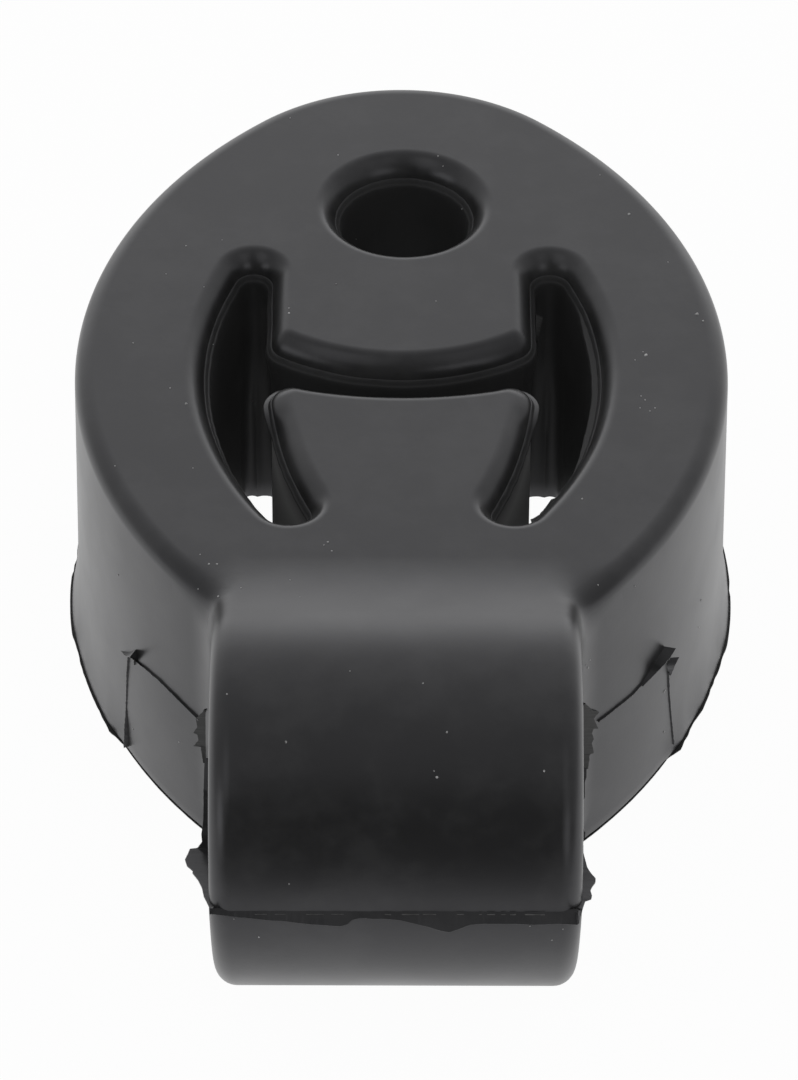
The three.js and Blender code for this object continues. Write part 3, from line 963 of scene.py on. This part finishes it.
# Free edge of the flash round the back rim, as pixels of the photograph. Behind, its width is guessed.
rim = {
    "left": [(79, 540), (76.5, 558), (73.5, 572), (69, 588), (67.6, 600), (67.2, 612), (69, 624),
             (76, 644), (86, 680), (97, 706), (108, 728), (117, 737), (125, 745), (131, 753)],
    "right": [(722, 540), (725.5, 555), (728, 562), (729.5, 590), (730.6, 620), (730, 635), (723, 656),
              (715, 678), (703, 708), (695, 720), (689, 732), (683, 746), (675, 752), (668, 756)],
    "height": 0.15, "behind": 0.55, "most": 0.93, "rough": 0.02, "flare": 9.0,
    "power": 2.2, "tip": 0.13, "even": 4, "sunk": 0.5, "rootHeight": 0.2, "edgeHeight": 0.1,
    "behindFrom": 6.0, "behindTo": 12.0, "before": 1.2, "after": 2.0, "clean": 0.04,
}


def rimWidth(points):
    # how far the flash stands out from the wall's foot, for points of the oval
    sight = Sight()
    x, y = points.T
    wide = np.zeros(len(x))
    for name, side in (("left", x < 0), ("right", x >= 0)):
        spots = sight.onPlane(rim[name], (0, 0, rim["height"]), (0, 0, 1))
        order = np.argsort(spots[:, 1])
        spots[:, 2] = midHeight
        reach = bodyDistance(spots) + draftSlope * midHeight - wallFoot
        along = spots[order, 1]
        along = np.concatenate([[along[0] - rim["before"]], along, [along[-1] + rim["after"]]])
        wide = np.where(side, np.interp(y, along, np.pad(reach[order], 1)), wide)
    wide = wide + wander(len(x), rim["rough"], (40, 200), 31) * (wide > rim["clean"])
    return np.clip(wide, 0.0, rim["most"])


def rimFlash():
    # only the flash's thin edge: the wall flares out to it
    points, normals = ovalOutline(body["spacing"])
    behind = rim["behind"] * smooth(points[:, 1], rim["behindFrom"], rim["behindTo"])
    wide = np.maximum(rimWidth(points), behind)
    base = placed(points + normals * (wallFoot - rim["sunk"]), rim["rootHeight"])
    edge = placed(points + normals * (wallFoot + wide)[:, None], rim["edgeHeight"])
    shell = Shell()
    sheet(shell, base, edge, "rim", closed=True)
    return shell


# Torn flash on the eye's parting line, traced as pixels of the photograph.
eyeTear = {
    "left": [(204.6, 758), (203.6, 790), (203.4, 815), (202.5, 827), (201.2, 834), (202, 842),
             (197.6, 848), (190, 849), (188, 854), (185, 860), (187, 866), (193, 871), (192.4, 873),
             (198, 880), (202, 888), (203.6, 896), (206.6, 902), (209, 907), (210, 914)],
    "right": [(586.5, 768), (586.5, 777), (584.8, 782), (584.8, 797), (583.6, 800), (583.4, 828),
              (585.3, 832), (585, 837), (583.4, 840), (583.4, 853), (585.4, 861), (587.4, 868),
              (590.4, 873), (595.8, 879), (595.4, 882.4), (591.4, 888), (590.4, 891), (592, 896),
              (591.4, 899), (585.4, 901), (583.6, 906), (582.4, 910), (579.4, 918), (578.4, 924)],
    "leftRoot": [(205.6, 709), (203.4, 712), (197.5, 718), (199.2, 726), (195, 731.7), (199.2, 734),
                 (200.3, 739), (195, 745), (202.5, 745.8), (203.7, 755), (204.7, 762)],
    "rightRoot": [(583.6, 703), (586.5, 705.3), (590.3, 709), (597.8, 710.8), (592, 717.5),
                  (596.7, 728), (592.3, 727), (590.3, 732), (592, 738), (590, 742), (592, 752),
                  (587.8, 754), (586.5, 768)],
    "front": [(209.4, 914.2), (223.8, 915.6), (237.5, 917.4), (250, 918.4), (265, 920), (285, 921.5),
              (306, 924), (325, 925.4), (340, 926.6), (347.5, 924.4), (352.5, 920), (361, 918),
              (372.5, 919), (385, 919), (400, 920.3), (415, 924), (427.5, 927), (440, 930.8),
              (448.8, 932.6), (458.8, 929.4), (470, 925), (480, 924), (496, 924), (515, 924),
              (533.8, 925), (558.8, 924), (577.5, 925)],
    "dashes": [(255, 267), (275, 286), (306, 324), (331, 344), (385, 391), (402, 419), (423, 436),
               (457, 464), (479, 482), (487, 495), (501, 506), (510, 516), (525, 545)],
    "fall": 35.0, "lift": 0.15, "seam": (204.9, 583.9), "ring": 8.6, "root": (0, -33.5, 14.1),
    "sunk": 0.6, "flakeSunk": 0.3, "noseY": -52.0, "skirtRise": 0.35,
    "dashRows": ((912.6, 0), (914.2, 0.4)), "dashLift": 0.2,
}


def eyeFlash(sight, names):
    # strips beside the eye, on the slanting plane of its parting line; flakes at its root, on the wall
    tear, shell = eyeTear, Shell()
    root, front = np.array(tear["root"]), np.array([0, eyeFrontY, eye["partingHeight"]])
    normal = np.cross([1, 0, 0], front - root)
    for order, name in enumerate(names):
        side = -1 if name.startswith("left") else 1
        if name.endswith("Root"):
            seam = [(tear["seam"][side > 0], pixel[1]) for pixel in tear[name]]
            inner, outer = (place + facing * tear["lift"] for place, facing in
                            (sight.onSkin(seam), sight.onSkin(tear[name])))
            inner[:, 0] -= side * tear["flakeSunk"]
            sheet(shell, inner, outer, "root", order)
            continue
        outer = sight.onPlane(tear[name], root, normal)
        # where the plane meets the cross bore, the strip runs round the bore's mouth
        nearRing = sight.onRing(tear[name], eye["centreY"], midHeight, tear["ring"])
        hollow = np.hypot(outer[:, 1] - eye["centreY"], outer[:, 2] - midHeight) < tear["ring"]
        outer = np.where(hollow[:, None], nearRing, outer)
        inner = outer.copy()
        inner[:, 0] = eye["offset"] + side * (eye["width"] / 2 - tear["sunk"])
        ahead = inner[:, 1] - eye["centreY"]
        pull = np.clip((eye["radius"] - tear["sunk"]) / np.hypot(ahead, inner[:, 2] - midHeight), 0, 1)
        inner[:, 1] = eye["centreY"] + ahead * np.where(inner[:, 1] < tear["noseY"], pull, 1)
        sheet(shell, inner, outer, "eye", order)
    return shell


def eyeSkirt(sight):
    # a skirt sloping down from the parting line at the front
    tear, shell = eyeTear, Shell()
    front = np.array([0, eyeFrontY, eye["partingHeight"]])
    fall = math.radians(tear["fall"])
    slope = np.array([0, -math.cos(fall), -math.sin(fall)])
    low = sight.onPlane(tear["front"], front, np.cross([1, 0, 0], slope))
    high = low.copy()
    high[:, 1:] = front[1:] - slope[1:] * tear["skirtRise"]
    sheet(shell, high, low, "skirt")
    return shell


def paintedHighlightDashes(sight):
    # pale crumbs along the line where the skirt leaves the eye: a painted highlight, their pale grey standing in for
    # light caught on the flash's broken base
    shell = Shell()
    for order, (start, end) in enumerate(eyeTear["dashes"]):
        lines = []
        for row, dip in eyeTear["dashRows"]:
            place, facing = sight.onSkin([(start, row), ((start + end) / 2, row + dip), (end, row)])
            lines.append(place + facing * eyeTear["dashLift"])
        sheet(shell, *lines, "dash", order)
    return shell


# Flash left at the mould's step on both walls, as pixels: where it leaves the wall, and its free edge.
wallTear = {"share": 0.6, "ridge": 0.19, "reach": (0.08, 0.9), "sunk": 0.3, "lines": {
    "leftDiagonal": ([(134, 659), (146, 668), (160, 680), (176, 696), (190, 710), (200, 720)],
                     [(134, 663), (144.5, 670.5), (158.5, 682.4), (175, 698.2), (189, 712), (199, 722)]),
    "leftFlag": ([(122, 652.5), (130, 653), (135.5, 649), (137, 657), (135, 664)],
                 [(121, 651.5), (125, 656), (130, 657.5), (133.5, 660), (133.5, 665)]),
    "leftStep": ([(129, 657), (127.8, 672), (127, 690), (126.4, 708), (127, 726), (128, 746)],
                 [(126.3, 657), (125.2, 672), (125.4, 690), (124.8, 708), (122.4, 726), (120.6, 744)]),
    "rightFlag": ([(664.4, 647.5), (659.4, 656), (653.4, 664), (645.4, 678), (641, 685)],
                  [(676, 648.5), (670.4, 657.5), (661.4, 668), (651.4, 678), (643, 686.5)]),
    "rightDiagonal": ([(642, 683), (631, 695), (618, 705.5), (606, 715), (598, 721)],
                      [(643, 686), (632, 697.6), (619, 707.8), (606.8, 717.2), (599, 723)]),
    "rightSecond": ([(669.4, 659), (666.6, 667), (668.5, 674.5)],
                    [(679.4, 657), (675, 665), (671, 675)]),
    "rightStep": ([(668, 672), (668.6, 690), (670.2, 710), (672, 730), (673.4, 744)],
                  [(670.4, 673), (670.6, 690), (672, 710), (673.8, 730), (675.6, 746)]),
}}


def wallFlash(sight):
    shell = Shell()
    for order, (name, (high, low)) in enumerate(wallTear["lines"].items()):
        base, normal = sight.onSkin(high)
        outward = normal * np.array([1, 1, 0])
        outward = outward / np.linalg.norm(outward, axis=1)[:, None]
        if "Step" in name:
            # an upright fin: its free edge lies straight out from the wall
            edge = sight.onPlane(low, base, np.cross(outward, (0, 0, 1)))
            reach = np.clip(((edge - base) * outward).sum(1), *wallTear["reach"]) * wallTear["share"]
            edge = base + outward * reach[:, None]
        elif "Diagonal" in name:
            # a low ridge
            edge = base + outward * wallTear["ridge"]
        else:
            edge = sight.onPlane(low, base, (0, 0, 1))
        kind = "ridge" if "Diagonal" in name else "wall"
        sheet(shell, base - outward * wallTear["sunk"], edge, kind, order)
    return shell


# Rags along the ledge of the void, as pixels: where they leave the ledge, and their free edge.
rags = {
    "tongue": ([(535.6, 315), (535.4, 325), (535, 341)], [(542.8, 315.3), (541, 324), (537.6, 341)]),
    "crescent": ([(577, 303), (584, 315), (590, 330), (595, 350)],
                 [(575.4, 305), (580.4, 320), (584, 333), (586.6, 351)]),
    "rightFoot": ([(560, 497), (553, 508), (545, 518), (533, 526)],
                  [(551.5, 497.5), (545.5, 505.5), (539.5, 513), (530.5, 518)]),
    "leftCrescent": ([(214, 330), (209.6, 350), (208, 380), (209, 410)],
                     [(215.6, 330), (211.4, 350), (210.2, 380), (211, 410)]),
}
ragDrop, ragSlope = 0.12, 0.25


def mouthRags(sight):
    shell, level = Shell(), (0, 0, ledgeFoot - ragDrop)
    for order, lines in enumerate(rags.values()):
        base, edge = (sight.onPlane(line, level, (0, 0, 1)) for line in lines)
        edge[:, 2] -= ragSlope
        sheet(shell, base, edge, "rag", order)
    return shell


# Dust: pixel and size in pixels, each speck a small flattened lump on the surface behind its pixel.
speckSpots = [
    (209, 564, 2.0), (217, 564, 2.0), (200, 554.5, 1.4), (218.5, 596.5, 2.4), (198, 589, 1.4),
    (290, 580, 1.4), (286, 742, 2.4), (227, 694, 1.8), (350, 671, 1.4), (598, 585, 1.6),
    (635, 586, 1.6), (186, 403.6, 2.8), (252.5, 401, 1.6), (213, 344.5, 1.4), (241, 588, 1.4),
    (328, 542, 2.2), (331.5, 551, 1.8), (324, 545, 1.4), (300, 597, 1.2), (447, 732, 2.2),
    (423, 683, 1.8), (582, 499, 2.4), (629, 214, 2.6), (646, 355, 3.0), (643, 352, 1.6),
    (697, 314, 3.2), (703, 321, 2.4), (645, 400, 1.8), (650, 411, 1.6), (641, 396, 1.4),
    (655, 408, 1.4), (640, 408, 1.4), (118, 575, 2.2), (133, 729, 2.0), (179, 742, 1.6),
    (186, 246, 2.0), (133, 343, 1.8), (204, 287, 1.4), (166, 274, 1.2), (290, 118, 1.8),
    (338, 155, 1.6), (443, 166, 1.4), (438, 156, 1.6), (356, 239, 1.4), (462, 209, 1.4),
    (635, 360, 1.4), (289, 313, 2.0), (289, 308, 1.4), (336, 284, 1.4), (436, 301, 1.4),
    (588, 668, 2.6), (586, 665, 1.8), (590, 660, 1.4), (701, 600, 2.2), (699, 627, 1.8),
    (664, 692, 2.6), (665, 690, 2.0), (664, 732, 2.2), (259, 937, 2.4), (234, 919, 1.4),
    (490, 921, 1.8), (563, 929, 1.8), (552, 940, 1.6), (530, 926, 1.8), (544, 771, 2.0),
    (437, 777, 2.4), (434, 771, 1.6), (289, 884, 1.6), (375, 913, 1.8), (366, 918, 1.6),
    (115, 466, 1.4), (170, 388, 1.4), (193, 468, 1.2), (222, 240, 1.2), (600, 175, 1.2),
    (668, 262, 1.2),
]


speckShape = {
    "scale": 0.62, "uneven": (0.65, 1.3), "sunk": 0.02, "top": 0.6, "height": 0.45, "corners": 6,
    "tilt": (0.3, 0.2, 0.93), "seed": 7,
}


def specks(sight):
    shell, shape, corners = Shell(), speckShape, speckShape["corners"]
    random = np.random.default_rng(shape["seed"])
    spots = np.array(speckSpots)
    places, normals = sight.onSkin(spots[:, :2])
    hit = places[:, 2] > farBelow
    spots, places, normals = spots[hit], places[hit], normals[hit]
    scale = np.linalg.norm(places - sight.place, axis=1) / sight.focal
    ring = np.linspace(0, 2 * math.pi, corners + 1)[:-1, None]
    caps = [np.arange(corners)[::-1], np.arange(corners) + corners]
    for place, normal, size in zip(places, normals, spots[:, 2] * scale * shape["scale"]):
        side = np.cross(normal, shape["tilt"])
        side = side / np.linalg.norm(side)
        circle = np.cos(ring) * side + np.sin(ring) * np.cross(normal, side)
        circle = circle * (size * random.uniform(*shape["uneven"], corners)[:, None])
        low = place + circle - normal * shape["sunk"]
        high = place + circle * shape["top"] + normal * size * shape["height"]
        shell.add(np.concatenate([low, high]), gridFaces(2, corners), caps)
    return shell


def addPiece(name, shell, material):
    mesh = shell.build(name)
    writePoints(mesh, toFrame(readPoints(mesh)))
    mesh.shade_smooth()
    mesh.set_sharp_from_angle(angle=math.radians(50))
    mesh.materials.append(material)
    piece = newObject(name, mesh)
    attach(piece, "root")
    print(name, "faces", len(mesh.polygons))


print("making the rubber skin")
skin = settle(meltJoin(united("hanger", bodyMesh(), eyeMesh())))
hanger = newObject("hanger", skin)
hanger.data.materials.clear()
hanger.data.materials.append(rubberMaterial())
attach(hanger, "root")
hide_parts("rubber_hanger")
print("skin faces", len(skin.polygons), "points", len(skin.vertices))

print("adding flash, torn edges and dust")
rubber = hanger.data.materials[0]
torn = plainMaterial("torn_flash", tornLook, 900.0)
dust = plainMaterial("dust", dustLook, 2000.0)
# painted highlight: a pale grey material for the crumbs on the eye's parting line
paintedHighlight = plainMaterial("paintedHighlight", paintedHighlightLook, 1500.0)
sight = Sight(skin)
for name, made, material in (
        ("rim_flash", rimFlash(), torn),
        ("eye_flash", eyeFlash(sight, ("left", "right")), rubber),
        ("root_flakes", eyeFlash(sight, ("leftRoot", "rightRoot")), torn),
        ("eye_skirt", eyeSkirt(sight), rubber),
        ("painted_highlight_dashes", paintedHighlightDashes(sight), paintedHighlight),
        ("wall_flash", wallFlash(sight), rubber),
        ("mouth_rags", mouthRags(sight), torn),
        ("specks", specks(sight), dust)):
    addPiece(name, made, material)

print("setting the light, table and camera")
lightWorld()
makeFloor()
makeCamera()
bpy.context.scene.view_settings.view_transform = "Standard"
